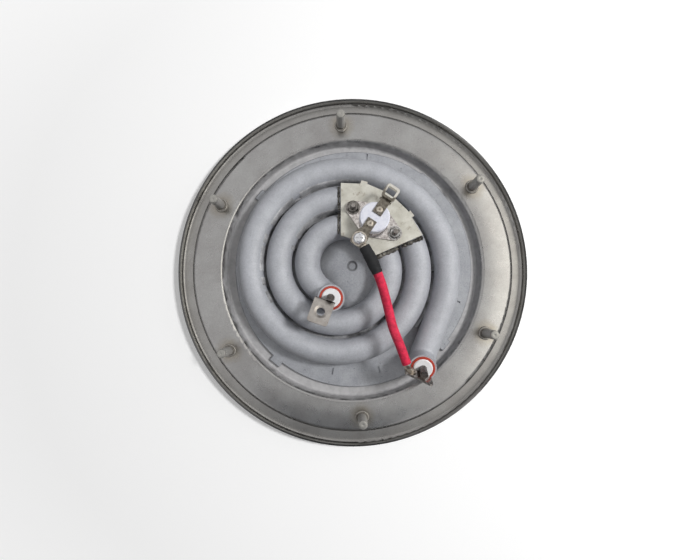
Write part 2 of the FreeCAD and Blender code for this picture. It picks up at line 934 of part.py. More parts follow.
def lead_path(points):
    """Straight runs joined by the largest tangent arcs that they allow, with the arcs' radii."""
    edges = []
    radii = []
    here = points[0]
    for before, corner, after in zip(points, points[1:], points[2:]):
        heading_in = (corner - before).normalize()
        heading_out = (after - corner).normalize()
        setback = 0.45 * min((corner - before).Length, (after - corner).Length)
        half_turn = heading_in.getAngle(heading_out) / 2
        radius = setback / math.tan(half_turn)
        start = corner - heading_in * setback
        end = corner + heading_out * setback
        to_centre = (heading_out - heading_in).normalize()
        middle = corner + to_centre * (radius / math.cos(half_turn) - radius)
        edges.append(Part.LineSegment(here, start).toShape())
        edges.append(Part.Arc(start, middle, end).toShape())
        radii.append(radius)
        here = end
    edges.append(Part.LineSegment(here, points[-1]).toShape())
    return edges, radii


def lead_insulation():
    """Silicone tube over the conductor, opened out at both ends to cover the barrels."""
    route = lead_route()
    edges, radii = lead_path(route)
    outside = pipe(edges, insulation_radius)
    length = sum(e.Length for e in edges)
    section = math.pi * insulation_radius ** 2
    print("lead bend radii", [round(r, 1) for r in radii], "length", round(length, 1))
    print("lead volume over section times length", outside.Volume / (section * length))
    insulation = outside.cut(pipe(edges, conductor_radius + crimp_gap))
    for end, inward in ((route[0], route[1]), (route[-1], route[-2])):
        socket = Part.makeCylinder(crimp_radius + crimp_gap, crimp_length, end, inward - end)
        insulation = insulation.cut(socket)
    return insulation


def lead_conductor():
    edges, radii = lead_path(lead_route())
    return pipe(edges, conductor_radius)


def shrink_sleeve():
    """Black sleeve over the start of the lead, up to the middle of its second run."""
    route = lead_route()
    covered = route[:2] + [(route[1] + route[2]) * 0.5]
    edges, radii = lead_path(route[:3])
    edges[-1] = Part.LineSegment(edges[-2].Vertexes[-1].Point, covered[-1]).toShape()
    inner = insulation_radius + crimp_gap
    return pipe(edges, inner + shrink_wall).cut(pipe(edges, inner))


def ring_terminal():
    return placed(crimped_terminal(ring_line(), ring_radius, ring_hole_radius), ring_frame)


def crimp_terminal():
    hole_radius = flag_rivet_radius + crimp_gap
    return placed(crimped_terminal(flag_line(), flag_radius, hole_radius), flag_frame)


def crimp_rivet():
    """Rivet through the crimp terminal and the outer blade."""
    shank = flag_rivet_radius
    wide = flag_rivet_head_radius
    low = -blade_thickness
    high = strap_thickness
    head = flag_rivet_head
    outline = [
        (0.0, low - head),
        (shank, low - head),
        (wide, low - head * 0.4),
        (wide, low),
        (shank, low),
        (shank, high),
        (wide, high),
        (wide, high + head * 0.4),
        (shank, high + head),
        (0.0, high + head),
    ]
    return placed(revolved(outline), flag_frame)


def export(name, shape):
    if shape.ShapeType == "Compound" and len(shape.Solids) == 1:
        shape = shape.Solids[0]
    shape.exportStep("parts/" + name + ".step")
    print(name, len(shape.Solids), "solid", shape.isValid(), round(shape.Volume, 1))


os.makedirs("parts", exist_ok=True)

export("base_plate", base_plate())
for stud_number in range(stud_count):
    export("weld_stud_" + str(stud_number + 1), weld_stud(stud_number))
export("spreader_plate", spreader_plate())
export("heating_tube", heating_tube())
export("magnesia_filling", magnesia_filling())
export("resistance_coil", resistance_coil())

export("inner_terminal_pin", terminal_pin(inner_arc, inner_rise, inner_stub, inner_frame))
export("outer_terminal_pin", terminal_pin(spiral, outer_rise, outer_stub, outer_frame.multiply(
    FreeCAD.Placement(Vector(), FreeCAD.Rotation(UP, 90)))))
for place, frame in (("inner", inner_frame), ("outer", outer_frame)):
    export(place + "_seal_ring", placed(seal_ring(), frame))
    export(place + "_ceramic_bush", placed(ceramic_bush(), frame))
export("inner_blade", placed(inner_blade(), inner_frame))
export("outer_blade", placed(outer_blade(), outer_frame))

export("thermostat_bracket", thermostat_bracket())
for label, seam in zip(("inner", "outer"), braze_seams()):
    export(label + "_braze_seam", seam)
for label, side in (("right", 1), ("left", -1)):
    export("bracket_screw_" + label, bracket_screw(side))
    export("bracket_nut_" + label, bracket_nut(side))
export("thermostat_flange", thermostat_flange())
export("thermostat_cup", thermostat_cup())
export("thermostat_body", thermostat_body())
export("guide_plate", guide_plate())
export("bimetal_disc", bimetal_disc())
export("push_pin", push_pin())
export("contact_spring", contact_spring())
export("upper_rivet", thermostat_rivet(1))
export("lower_rivet", thermostat_rivet(-1))
export("upper_terminal", thermostat_terminal(tab_angle))
export("lower_terminal", thermostat_terminal(tab_angle + 180))
export("clamp_screw", clamp_screw())
export("clamp_nut", clamp_nut())

export("ring_terminal", ring_terminal())
export("shrink_sleeve", shrink_sleeve())
export("lead_insulation", lead_insulation())
export("lead_conductor", lead_conductor())
export("crimp_terminal", crimp_terminal())
export("crimp_rivet", crimp_rivet())
print("lead route", [(round(p.x, 2), round(p.y, 2), round(p.z, 2)) for p in lead_route()])
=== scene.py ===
"""Looks of the water boiler heating plate: materials, threads, weld flash, residue and studio.

Lengths are in metres, except where a comment or docstring says millimetres.
"""

import bmesh
import bpy
import json
import math
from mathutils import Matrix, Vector, noise


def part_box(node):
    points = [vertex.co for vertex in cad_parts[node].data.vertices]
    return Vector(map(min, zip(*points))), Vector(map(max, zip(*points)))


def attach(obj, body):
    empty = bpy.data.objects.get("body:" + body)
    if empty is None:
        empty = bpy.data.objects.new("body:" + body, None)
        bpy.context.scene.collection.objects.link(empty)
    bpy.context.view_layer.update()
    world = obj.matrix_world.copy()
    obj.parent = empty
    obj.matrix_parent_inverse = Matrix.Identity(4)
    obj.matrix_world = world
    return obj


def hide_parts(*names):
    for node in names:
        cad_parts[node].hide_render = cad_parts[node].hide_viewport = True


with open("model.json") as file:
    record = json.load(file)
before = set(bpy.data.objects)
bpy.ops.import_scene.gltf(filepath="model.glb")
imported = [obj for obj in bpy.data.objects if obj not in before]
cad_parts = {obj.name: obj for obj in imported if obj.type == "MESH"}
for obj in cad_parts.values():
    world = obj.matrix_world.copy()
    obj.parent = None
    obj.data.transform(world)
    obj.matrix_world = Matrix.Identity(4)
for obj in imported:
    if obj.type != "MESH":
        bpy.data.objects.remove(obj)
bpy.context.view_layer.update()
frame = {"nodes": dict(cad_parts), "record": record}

MM = 0.001
CM = 10 * MM
WHITE = (1.0, 1.0, 1.0, 1.0)
BLACK = (0.0, 0.0, 0.0, 1.0)
nodes = frame["nodes"]
mounts = {mount["name"]: mount for mount in frame["record"]["mounts"]}

# Studs: their heights are read from the frame, and their sizes are those of the solids. The thread
# starts over the flange and ends below the tip
stud_names = [f"weld_stud_{number}" for number in range(1, 7)]
flange_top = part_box(stud_names[0])[0].z
stud_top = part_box(stud_names[0])[1].z
stud_radius = 2.5 * MM
stud_pitch = 0.8 * MM
stud_thread_depth = 0.22 * MM
stud_thread_start = 1.2 * MM
stud_thread_end = 0.9 * MM
flash_radius = 4.1 * MM
flash_height = 1.0 * MM

# Screws of the bracket
screw_radius = 1.5 * MM
screw_pitch = 0.5 * MM
screw_thread_depth = 0.2 * MM
screw_plain_foot = 0.4 * MM

# Base plate: the radius that its tints are measured by, where the flange starts and how wide it is
plate_radius = 100 * MM
flange_inner = 76 * MM
flange_width = 15 * MM

# Heights and points that materials and filler keep to. The crust stays under the bracket's top
spreader_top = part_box("spreader_plate")[1].z
crust_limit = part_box("inner_braze_seam")[1].z + 1.6 * MM
dimple_place = (0.6 * MM, 1.7 * MM, spreader_top)
blade_hole = tuple(mounts["mains_blade_hole"]["pos_m"])

# The spiral in plan, as in the solids: quarter turns about the corners of a square, each one wider.
# It ends at a count of turns. The tube's line lies lower than its radius, because of the flat below
tube_radius = 7.2 * MM
tube_level = spreader_top + 6.3 * MM
coil_centre = Vector((-5.8, 0.4)) * MM
coil_pitch = 16.2 * MM
coil_first_radius = 21.0 * MM
coil_quarters = 10
coil_end = 2.56

# Corners of the sleeve's line over the start of the lead, and the sleeve's radii, in millimetres
sleeve_line = ((6.32, 8.6, 35.55), (10.85, 0.25, 35.55), (12.93, -4.63, 34.57))
sleeve_outer = 2.84
sleeve_bulge = 0.22
sleeve_inner = 2.42


def srgb(red, green, blue):
    """Linear colour of an sRGB one given in 0 to 255."""
    linear = []
    for value in (red, green, blue):
        share = value / 255
        linear.append(share / 12.92 if share <= 0.04045 else ((share + 0.055) / 1.055) ** 2.4)
    return (*linear, 1.0)


def grey(level):
    """Linear grey."""
    return (level, level, level, 1.0)


class Look:
    """A material that is built node by node around one principled shader."""

    def __init__(self, name, roughness, metallic=0.0, **constants):
        self.material = bpy.data.materials.new(name)
        self.material.use_nodes = True
        self.tree = self.material.node_tree
        self.shader = self.tree.nodes["Principled BSDF"]
        self.shader.inputs["Roughness"].default_value = roughness
        self.shader.inputs["Metallic"].default_value = metallic
        for key, value in constants.items():
            self.shader.inputs[key.replace("_", " ")].default_value = value
        self.place = self.node("ShaderNodeTexCoord").outputs["Object"]

    def node(self, kind, **settings):
        """A new node with these settings."""
        made = self.tree.nodes.new(kind)
        for key, value in settings.items():
            setattr(made, key, value)
        return made

    def link(self, source, target):
        """Feed one socket into another."""
        self.tree.links.new(source, target)

    def feed(self, value, socket):
        """Give a socket a value, which may be another socket."""
        if isinstance(value, (tuple, float, int)):
            socket.default_value = value
        else:
            self.link(value, socket)

    def noise(self, size, detail=3.0, roughness=0.6, stretch=(1, 1, 1)):
        """Noise whose patches are about one size, in millimetres."""
        mapping = self.node("ShaderNodeMapping")
        mapping.inputs["Scale"].default_value = stretch
        self.link(self.place, mapping.inputs["Vector"])
        texture = self.node("ShaderNodeTexNoise")
        texture.inputs["Scale"].default_value = 1 / (size * MM)
        texture.inputs["Detail"].default_value = detail
        texture.inputs["Roughness"].default_value = roughness
        self.link(mapping.outputs["Vector"], texture.inputs["Vector"])
        return texture.outputs["Fac"]

    def ramp(self, value, *stops):
        """Colours, or greys given as numbers, against a value."""
        ramp = self.node("ShaderNodeValToRGB")
        elements = ramp.color_ramp.elements
        while len(elements) < len(stops):
            elements.new(0.5)
        for element, (position, colour) in zip(elements, stops):
            element.position = position
            element.color = colour if isinstance(colour, tuple) else grey(colour)
        self.link(value, ramp.inputs["Fac"])
        return ramp.outputs["Color"]

    def mix(self, share, first, second, blend="MIX"):
        """First colour with a share of the second."""
        mix = self.node("ShaderNodeMix", data_type="RGBA", blend_type=blend)
        factor, first_colour, second_colour = (mix.inputs[number] for number in (0, 6, 7))
        self.feed(share, factor)
        self.feed(first, first_colour)
        self.feed(second, second_colour)
        return mix.outputs[2]

    def maths(self, operation, *values):
        """Result of one sum on numbers or sockets."""
        step = self.node("ShaderNodeMath", operation=operation)
        for value, socket in zip(values, step.inputs):
            self.feed(value, socket)
        return step.outputs[0]

    def distance_to(self, point):
        """Distance from a point."""
        apart = self.node("ShaderNodeVectorMath", operation="DISTANCE")
        apart.inputs[1].default_value = point
        self.link(self.place, apart.inputs[0])
        return apart.outputs["Value"]

    def distance_to_axis(self):
        """Distance from the plate's axis."""
        flat = self.node("ShaderNodeVectorMath", operation="MULTIPLY")
        flat.inputs[1].default_value = (1, 1, 0)
        self.link(self.place, flat.inputs[0])
        length = self.node("ShaderNodeVectorMath", operation="LENGTH")
        self.link(flat.outputs["Vector"], length.inputs[0])
        return length.outputs["Value"]

    def upward(self, vector):
        """The Z part of a vector."""
        parts = self.node("ShaderNodeSeparateXYZ")
        self.link(vector, parts.inputs[0])
        return parts.outputs["Z"]

    def base_colour(self):
        """What feeds the colour so far."""
        return self.shader.inputs["Base Color"].links[0].from_socket

    def colour(self, source):
        """Feed the colour."""
        self.link(source, self.shader.inputs["Base Color"])

    def rough(self, source):
        """Feed the roughness."""
        self.link(source, self.shader.inputs["Roughness"])

    def bump(self, height, depth, strength=1.0):
        """Relief of one depth, in millimetres. A second call adds to the first."""
        bump = self.node("ShaderNodeBump")
        bump.inputs["Strength"].default_value = strength
        bump.inputs["Distance"].default_value = depth * MM
        self.link(height, bump.inputs["Height"])
        normal = self.shader.inputs["Normal"]
        if normal.is_linked:
            self.link(normal.links[0].from_socket, bump.inputs["Normal"])
        self.link(bump.outputs["Normal"], normal)


def foot_of(name):
    """Middle of an upright CAD node's foot."""
    low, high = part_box(name)
    return Vector(((low.x + high.x) / 2, (low.y + high.y) / 2, low.z))


def heat_tint(look):
    """Straw and brown tints that welding leaves round each stud."""
    tint_reach = 12 * MM
    tint_raggedness = 6 * MM
    nearest = None
    for name in stud_names:
        apart = look.distance_to(foot_of(name))
        nearest = apart if nearest is None else look.maths("MINIMUM", nearest, apart)
    centred = look.maths("SUBTRACT", nearest, tint_raggedness / 2)
    ragged = look.maths("MULTIPLY_ADD", look.noise(5), tint_raggedness, centred)
    return look.ramp(
        look.maths("DIVIDE", ragged, tint_reach),
        (0.06, srgb(132, 118, 102)),
        (0.16, srgb(196, 184, 166)),
        (0.34, srgb(236, 228, 212)),
        (0.70, WHITE),
    )


def flange_dish(look, radius):
    """Height of the flange's slight dish, as a share of its depth. It is highest at its crest."""
    crest = 0.25
    share = look.maths("DIVIDE", look.maths("SUBTRACT", radius, flange_inner), flange_width)
    share = look.maths("MINIMUM", look.maths("MAXIMUM", share, 0.0), 1.0)
    share = look.maths("SUBTRACT", share, crest)
    return look.maths("SUBTRACT", 1.0, look.maths("MULTIPLY", share, share))


def polishing_rings(look):
    """Fine rings about the plate's axis."""
    rings = look.node("ShaderNodeTexWave", wave_type="RINGS", rings_direction="Z")
    rings.inputs["Scale"].default_value = 320
    rings.inputs["Distortion"].default_value = 1.5
    rings.inputs["Detail"].default_value = 2
    look.link(look.place, rings.inputs["Vector"])
    return rings.outputs["Fac"]


def stainless():
    """Pressed stainless sheet: satin and mottled on the dry side, with heat tints round the welds.

    Flux dust dulls the recess's wall. The water side is smoother, with fine rings from polishing.
    """
    flux_raggedness = 3 * MM
    flux_dulling = 0.85
    look = Look("stainless_sheet", roughness=0.36, metallic=1.0)
    radius = look.distance_to_axis()
    outward = look.maths("DIVIDE", radius, plate_radius)
    wet = look.ramp(
        look.upward(look.node("ShaderNodeNewGeometry").outputs["Normal"]), (0.0, 1.0), (0.02, 0.0)
    )
    reach = look.maths("MULTIPLY_ADD", look.noise(4, 4), flux_raggedness, radius)
    flux = look.ramp(look.maths("DIVIDE", reach, plate_radius), (0.745, 1.0), (0.757, 0.0))
    flux = look.mix(wet, flux, BLACK)

    sheet = look.ramp(look.noise(16), (0.35, srgb(154, 152, 151)), (0.65, srgb(166, 165, 164)))
    grain = look.ramp(look.noise(0.45, 2), (0.3, 0.78), (0.7, 1.0))
    colour = look.mix(1.0, sheet, grain, "MULTIPLY")
    colour = look.mix(0.7, colour, heat_tint(look), "MULTIPLY")
    # Past the lip's foot the sheet is a little darker and warmer. At the rim's edge it is darker
    # still: a painted dark reflection
    lip = (0.89, 0.88, 0.86, 1.0)
    lip_tone_and_rim_reflection = look.ramp(outward, (0.918, 1.0), (0.93, lip), (0.984, lip), (0.992, 0.7))
    colour = look.mix(1.0, colour, lip_tone_and_rim_reflection, "MULTIPLY")
    colour = look.mix(wet, colour, srgb(196, 196, 194))
    dusty = look.ramp(look.noise(3, 4), (0.3, srgb(164, 163, 164)), (0.6, srgb(180, 179, 180)))
    look.colour(look.mix(flux, colour, dusty))

    metallic = look.maths("SUBTRACT", 1.0, look.maths("MULTIPLY", flux, flux_dulling))
    look.link(metallic, look.shader.inputs["Metallic"])
    dry_gloss = look.ramp(look.noise(7), (0.3, 0.25), (0.7, 0.34))
    gloss = look.mix(wet, dry_gloss, grey(0.2))
    look.rough(look.mix(flux, gloss, grey(0.6)))

    look.bump(look.mix(wet, look.noise(0.8, 2), polishing_rings(look)), 0.012, 0.25)
    look.bump(look.noise(24, 1), 0.3, 0.25)
    look.bump(flange_dish(look, radius), 1.3)
    hem = look.ramp(outward, (0.985, 1.0), (1.0, 0.0))
    look.bump(hem, 0.8)
    return look


def stud_metal():
    """Weld stud: burnt at its foot, bright along the thread and duller at the tip."""
    look = Look("stud_steel", roughness=0.34, metallic=0.55)
    above = look.maths("SUBTRACT", look.upward(look.place), flange_top)
    burnt = look.ramp(
        look.maths("DIVIDE", above, stud_top - flange_top),
        (0.0, srgb(140, 135, 128)),
        (0.05, srgb(158, 154, 148)),
        (0.083, srgb(108, 102, 95)),
        (0.14, srgb(172, 169, 164)),
        (0.95, srgb(184, 182, 178)),
        (0.985, srgb(158, 156, 151)),
    )
    darkening = look.ramp(look.noise(1.2), (0.3, 0.7), (0.7, 1.0))
    look.colour(look.mix(0.6, burnt, darkening, "MULTIPLY"))
    look.bump(look.noise(0.4), 0.03, 0.3)
    return look


def tube_metal(name, light, dark, grain=0.3):
    """Grey aluminium with a sandy skin, patchy where it was brazed."""
    look = Look(name, roughness=0.55, metallic=0.3)
    patches = look.ramp(look.noise(9, 4), (0.36, dark), (0.62, light))
    fine = look.ramp(look.noise(grain, 2), (0.3, 0.78), (0.7, 1.0))
    colour = look.mix(1.0, patches, fine, "MULTIPLY")
    sandy = look.ramp(look.noise(1.1, 3), (0.35, 0.90), (0.65, 1.0))
    colour = look.mix(1.0, colour, sandy, "MULTIPLY")
    pits = look.ramp(look.noise(1.8, 5, 0.75), (0.30, 0.35), (0.36, 1.0))
    look.colour(look.mix(0.6, colour, pits, "MULTIPLY"))
    look.rough(look.ramp(look.noise(4), (0.3, 0.46), (0.7, 0.62)))
    look.bump(look.noise(grain, 2), 0.05, 0.6)
    look.bump(look.noise(1.1, 3), 0.06, 0.5)
    look.bump(look.noise(5, 3), 0.18, 0.3)
    return look


def spreader_metal():
    """The tube's metal, with painted shade in and round the dimple at the middle of the spiral, and
    scars.
    """
    look = tube_metal("spreader_aluminium", srgb(174, 176, 181), srgb(160, 162, 168), 0.4)
    apart = look.maths("DIVIDE", look.distance_to(dimple_place), CM)
    # Painted shade of the dimple: darker in its hollow and darkest in a ring at its rim
    darkening = look.ramp(apart, (0.20, 0.84), (0.25, 0.45), (0.29, 0.55), (0.34, 1.0))
    scars = look.ramp(
        look.noise(3.5, 8, 0.8, (1, 1, 0)), (0.36, 0.5), (0.40, 1.0), (0.60, 1.0), (0.64, 1.2)
    )
    dimple_shade_and_scars = look.mix(1.0, darkening, scars, "MULTIPLY")
    look.colour(look.mix(1.0, look.base_colour(), dimple_shade_and_scars, "MULTIPLY"))
    return look


def bracket_metal():
    """Pale coated sheet with specks and a little rust, not quite flat."""
    look = Look("bracket_metal", roughness=0.55, metallic=0.35)
    base = look.ramp(look.noise(6, 4), (0.34, srgb(182, 179, 168)), (0.66, srgb(206, 204, 195)))
    rust = look.ramp(look.noise(3.2, 5, 0.7), (0.30, srgb(160, 142, 124)), (0.43, WHITE))
    colour = look.mix(0.6, base, rust, "MULTIPLY")
    specks = look.ramp(look.noise(0.9, 4, 0.8), (0.30, 0.35), (0.36, 1.0))
    look.colour(look.mix(0.7, colour, specks, "MULTIPLY"))
    look.bump(look.noise(0.5), 0.03, 0.5)
    look.bump(look.noise(8, 2), 0.5, 0.35)
    return look


def plain_metal(name, light, dark, roughness, patch=1.5):
    """Plated or bare metal with patchy tarnish and fine scratches."""
    look = Look(name, roughness=roughness, metallic=1.0)
    look.colour(look.ramp(look.noise(patch, 4), (0.35, dark), (0.65, light)))
    varying = look.ramp(look.noise(patch * 0.7), (0.3, roughness * 0.8), (0.7, roughness * 1.25))
    look.rough(varying)
    scratches = look.noise(0.25, 2, 0.5, (1, 6, 1))
    look.bump(scratches, 0.01, 0.25)
    return look


def blade_metal():
    """Blade at the inner end of the tube: its hole is sunk a little."""
    look = plain_metal("blade_steel", srgb(170, 165, 160), srgb(150, 144, 139), 0.33, 4)
    apart = look.maths("DIVIDE", look.distance_to(blade_hole), CM)
    look.bump(look.ramp(apart, (0.22, 0.0), (0.36, 1.0)), 0.5)
    return look


def polished_metal():
    """Thin drawn steel, wavy where it was pressed."""
    look = plain_metal("polished_steel", srgb(212, 206, 202), srgb(150, 143, 139), 0.09)
    look.bump(look.noise(3.5, 2), 0.35, 0.5)
    return look


def tarnished_metal():
    """Terminals of the thermostat: dark, with a painted highlight at the upper one's free end."""
    look = plain_metal("terminal_metal", srgb(128, 122, 112), srgb(92, 86, 78), 0.24)
    highlight_raggedness = 2 * MM
    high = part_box("upper_terminal")[1]
    free_end = (high.x - 3.1 * MM, high.y - 3.3 * MM, high.z - 0.8 * MM)
    apart = look.distance_to(free_end)
    # Painted highlight: lighter metal round the upper terminal's free end, with a ragged rim
    varying = look.maths("MULTIPLY_ADD", look.noise(2), highlight_raggedness, apart)
    varying = look.ramp(look.maths("DIVIDE", varying, CM), (0.47, 1.0), (0.55, 0.0))
    look.colour(look.mix(varying, look.base_colour(), srgb(206, 202, 194)))
    return look


def ceramic(name, light, dark, roughness=0.38):
    """Unglazed ceramic with faint stains."""
    look = Look(name, roughness=roughness, Specular_IOR_Level=0.45)
    look.colour(look.ramp(look.noise(2.5, 4), (0.30, dark), (0.55, light)))
    look.bump(look.noise(0.3, 2), 0.015, 0.4)
    return look


def rubber(name, light, dark, roughness, patch=3.0, relief=0.03):
    """Silicone or shrink sleeve, handled and a little uneven."""
    look = Look(name, roughness=roughness, Specular_IOR_Level=0.35)
    look.colour(look.ramp(look.noise(patch, 3), (0.35, dark), (0.65, light)))
    varying = look.ramp(look.noise(patch * 0.5), (0.3, roughness * 0.85), (0.7, roughness * 1.15))
    look.rough(varying)
    look.bump(look.noise(0.6, 3), relief, 0.5)
    return look


def dress(look, *names):
    """Give CAD nodes a material."""
    for name in names:
        data = nodes[name].data
        data.materials.clear()
        data.materials.append(look.material)


def mesh_piece(name, bm, look, replaced=()):
    """A new piece that rides on the plate."""
    data = bpy.data.meshes.new(name)
    bm.normal_update()
    bm.to_mesh(data)
    bm.free()
    data.materials.append(look.material)
    piece = bpy.data.objects.new(name, data)
    bpy.context.scene.collection.objects.link(piece)
    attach(piece, "root")
    if replaced:
        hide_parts(*replaced)


def threaded_bar(radius, depth, pitch, low, high, around):
    """Rings of a single-start thread that fades out at both ends.

    A ring is a row of (radius, height), one for each angle.
    """
    rows_per_turn = 6
    turns = int((high - low) / pitch)
    rings = []
    for row in range(turns * rows_per_turn + 1):
        climbed = row / rows_per_turn
        height = low + climbed * pitch
        ring = []
        for spoke in range(around):
            phase = (climbed - spoke / around) % 1.0
            ridge = 0.5 - 0.5 * math.cos(2 * math.pi * phase)
            # Steeper sides, with a flat crest and root
            ridge = min(1.0, max(0.0, ridge * 1.6 - 0.3))
            fade = min(1.0, (height - low) / pitch, (low + turns * pitch - height) / pitch)
            cut = depth * (1 - ridge) * max(0.0, fade)
            ring.append((radius - cut, height))
        rings.append(ring)
    return rings


def close_rings(bm, rings, foot):
    """Skin a stack of rings about an upright axis through foot, closed at the top and bottom."""
    loops = []
    for ring in rings:
        loop = []
        for spoke, (radius, height) in enumerate(ring):
            angle = 2 * math.pi * spoke / len(ring)
            x = foot.x + radius * math.cos(angle)
            y = foot.y + radius * math.sin(angle)
            loop.append(bm.verts.new((x, y, height)))
        loops.append(loop)
    for below, above in zip(loops, loops[1:]):
        join_loops(bm, below, above)
    bm.faces.new(loops[0][::-1])
    bm.faces.new(loops[-1])


def join_loops(bm, below, above):
    """Smooth band of faces between two closed loops with as many points."""
    for spoke in range(len(below)):
        after = (spoke + 1) % len(below)
        bm.faces.new((below[spoke], below[after], above[after], above[spoke])).smooth = True


def flash_rings(foot, around, seed):
    """Weld flash at the foot of a stud: a rounded ring, a little different on every side."""
    # Share of the way out from the stud, and of the flash's height
    profile = (
        (1.0, 0.0), (1.0, 0.25), (0.93, 0.6), (0.75, 0.93),
        (0.5, 1.0), (0.25, 0.85), (0.08, 0.55), (0.0, 0.5),
    )
    reach_swing = 0.06
    height_swing = 0.1
    rings = []
    for reach, lift in profile:
        ring = []
        for spoke in range(around):
            angle = 2 * math.pi * spoke / around
            spot = Vector((math.cos(angle) * 1.3, math.sin(angle) * 1.3, seed * 3.1))
            wave = max(-1.0, min(1.0, noise.noise(spot) * 2))
            outer = flash_radius * (1 - reach_swing + reach_swing * wave)
            radius = stud_radius + (outer - stud_radius) * reach
            rise = flash_height * lift * (1 - height_swing + height_swing * wave)
            ring.append((radius, foot.z + rise))
        rings.append(ring)
    return rings


def tip_rings(radius, top, around, profile):
    """Rings of a bar's end. A profile gives (share of its radius, height over top in mm)."""
    return [[(radius * share, top + height * MM)] * around for share, height in profile]


def make_studs(look):
    """Studs with a worn thread, a dimple in the tip and weld flash at the foot."""
    around = 32
    tip = (
        (1.0, -0.7), (0.97, -0.5), (0.82, -0.06), (0.78, 0.0),
        (0.2, 0.0), (0.16, -0.05), (0.04, -0.2),
    )
    for number, name in enumerate(stud_names):
        foot = foot_of(name)
        start, end = foot.z + stud_thread_start, stud_top - stud_thread_end
        rings = flash_rings(foot, around, number)
        rings += threaded_bar(stud_radius, stud_thread_depth, stud_pitch, start, end, around)
        rings += tip_rings(stud_radius, stud_top, around, tip)
        bm = bmesh.new()
        close_rings(bm, rings, foot)
        mesh_piece(f"threaded_stud_{number + 1}", bm, look, [name])


def make_bracket_screws(look):
    """Threaded screws that hold the thermostat on its bracket."""
    around = 24
    tip = ((0.98, -0.4), (0.8, -0.05), (0.7, 0.0))
    for side in ("left", "right"):
        name = f"bracket_screw_{side}"
        low, high = (corner.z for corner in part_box(name))
        start, end = low + screw_pitch, high - screw_pitch
        rings = [[(screw_radius, low)] * around, [(screw_radius, low + screw_plain_foot)] * around]
        rings += threaded_bar(screw_radius, screw_thread_depth, screw_pitch, start, end, around)
        rings += tip_rings(screw_radius, high, around, tip)
        bm = bmesh.new()
        close_rings(bm, rings, foot_of(name))
        mesh_piece(f"threaded_{name}", bm, look, [name])


def coil_line(offset, first, last, step):
    """Points and outward directions along the spiral, moved outwards, between two turn counts."""
    quarter_step = coil_pitch / 4
    centres = []
    x, y = coil_centre.x + quarter_step / 2, coil_centre.y + quarter_step / 2
    for quarter in range(coil_quarters + 1):
        centres.append((x, y, coil_first_radius + quarter * quarter_step))
        angle = math.radians(180 - 90 * (quarter + 1))
        x -= quarter_step * math.cos(angle)
        y -= quarter_step * math.sin(angle)
    line = []
    turn = first
    while turn < last:
        quarter = min(int(turn * 4), coil_quarters)
        x, y, radius = centres[quarter]
        angle = math.radians(180 - 360 * turn)
        out = Vector((math.cos(angle), math.sin(angle)))
        line.append((Vector((x, y)) + out * (radius + offset), out))
        turn += step / (2 * math.pi * (radius + offset))
    return line


def make_strip(name, line, section, look, coverage, seed):
    """Rough strip along a line, with breaks in it.

    A section gives (outward, height, roughness) across it, in millimetres.
    """
    stretch_size = 6 * MM
    grain_size = 0.9 * MM
    lump_size = 3.1 * MM
    least = spreader_top + 0.02 * MM
    bm = bmesh.new()
    before = None
    for place, out in line:
        wave = noise.noise(Vector((place.x, place.y, seed * MM)) / stretch_size)
        if wave < 0.5 - coverage:
            before = None
            continue
        row = []
        for across, lift, rough in section:
            spot = place + out * (across * MM)
            grain = noise.noise(Vector((spot.x, spot.y, seed * 7 * MM)) / grain_size)
            lumps = noise.noise(Vector((spot.x, spot.y, seed * 3 * MM)) / lump_size)
            height = spreader_top + (lift + rough * (0.6 * grain + 0.6 * lumps)) * MM
            row.append(bm.verts.new((spot.x, spot.y, max(height, least))))
        if before:
            for a, b, c, d in zip(before, before[1:], row[1:], row):
                bm.faces.new((a, b, c, d)).smooth = True
        before = row
    mesh_piece(name, bm, look)


def make_residue(look):
    """Flux and filler left in the gaps between the turns and along the outermost turn's foot."""
    step = 0.45 * MM
    middle = coil_pitch / 2
    gap = (
        (-1.6, 2.9, 0.2), (-1.0, 2.7, 0.5), (-0.5, 3.1, 0.7),
        (0.1, 4.0, 0.8), (0.6, 4.8, 0.6), (1.2, 5.6, 0.2),
    )
    climb = (
        (0.2, 5.0, 0.6), (0.5, 6.4, 0.5), (0.8, 7.8, 0.4),
        (1.2, 9.0, 0.5), (1.7, 10.0, 0.4), (2.3, 10.2, 0.1),
    )
    foot = ((-3.2, 1.0, 0.1), (-2.4, 1.1, 0.6), (-1.6, 0.7, 0.8), (-0.8, 0.4, 0.6), (0.0, 0.1, 0.2))
    # Name, section, offset from the spiral, turns where it starts and ends, coverage, seed
    strips = (
        ("inner_gap_residue", gap, middle, 0.05, 0.72, 0.95, 1),
        ("middle_gap_residue", gap, middle, 0.72, 1.6, 0.95, 2),
        ("inner_gap_crust", climb, middle, 0.04, 0.24, 0.7, 4),
        ("middle_gap_crust", climb, middle, 0.90, 1.28, 0.7, 5),
        ("outer_foot_residue", foot, tube_radius, 1.62, 2.5, 0.62, 3),
    )
    for name, section, offset, first, last, coverage, seed in strips:
        make_strip(name, coil_line(offset, first, last, step), section, look, coverage, seed)


def lump(bm, centre, radius, seed):
    """Rough blob of filler, with large and small swellings."""
    made = bmesh.ops.create_icosphere(bm, subdivisions=3, radius=1.0)["verts"]
    for vert in made:
        swell = 1 + 0.35 * noise.noise(vert.co * 1.7 + Vector((seed, 0, 0)))
        swell += 0.15 * noise.noise(vert.co * 5 + Vector((0, seed, 0)))
        vert.co = centre + vert.co * (radius * swell)
        for face in vert.link_faces:
            face.smooth = True


def tube_top(place, line):
    """Height of the top of the tube round a line over a plan place, or None beside the tube."""
    steepest_share = 0.93
    nearest = min((place - point).length for point, out in line)
    if nearest > tube_radius * steepest_share:
        return None
    return tube_level + math.sqrt(tube_radius ** 2 - nearest ** 2)


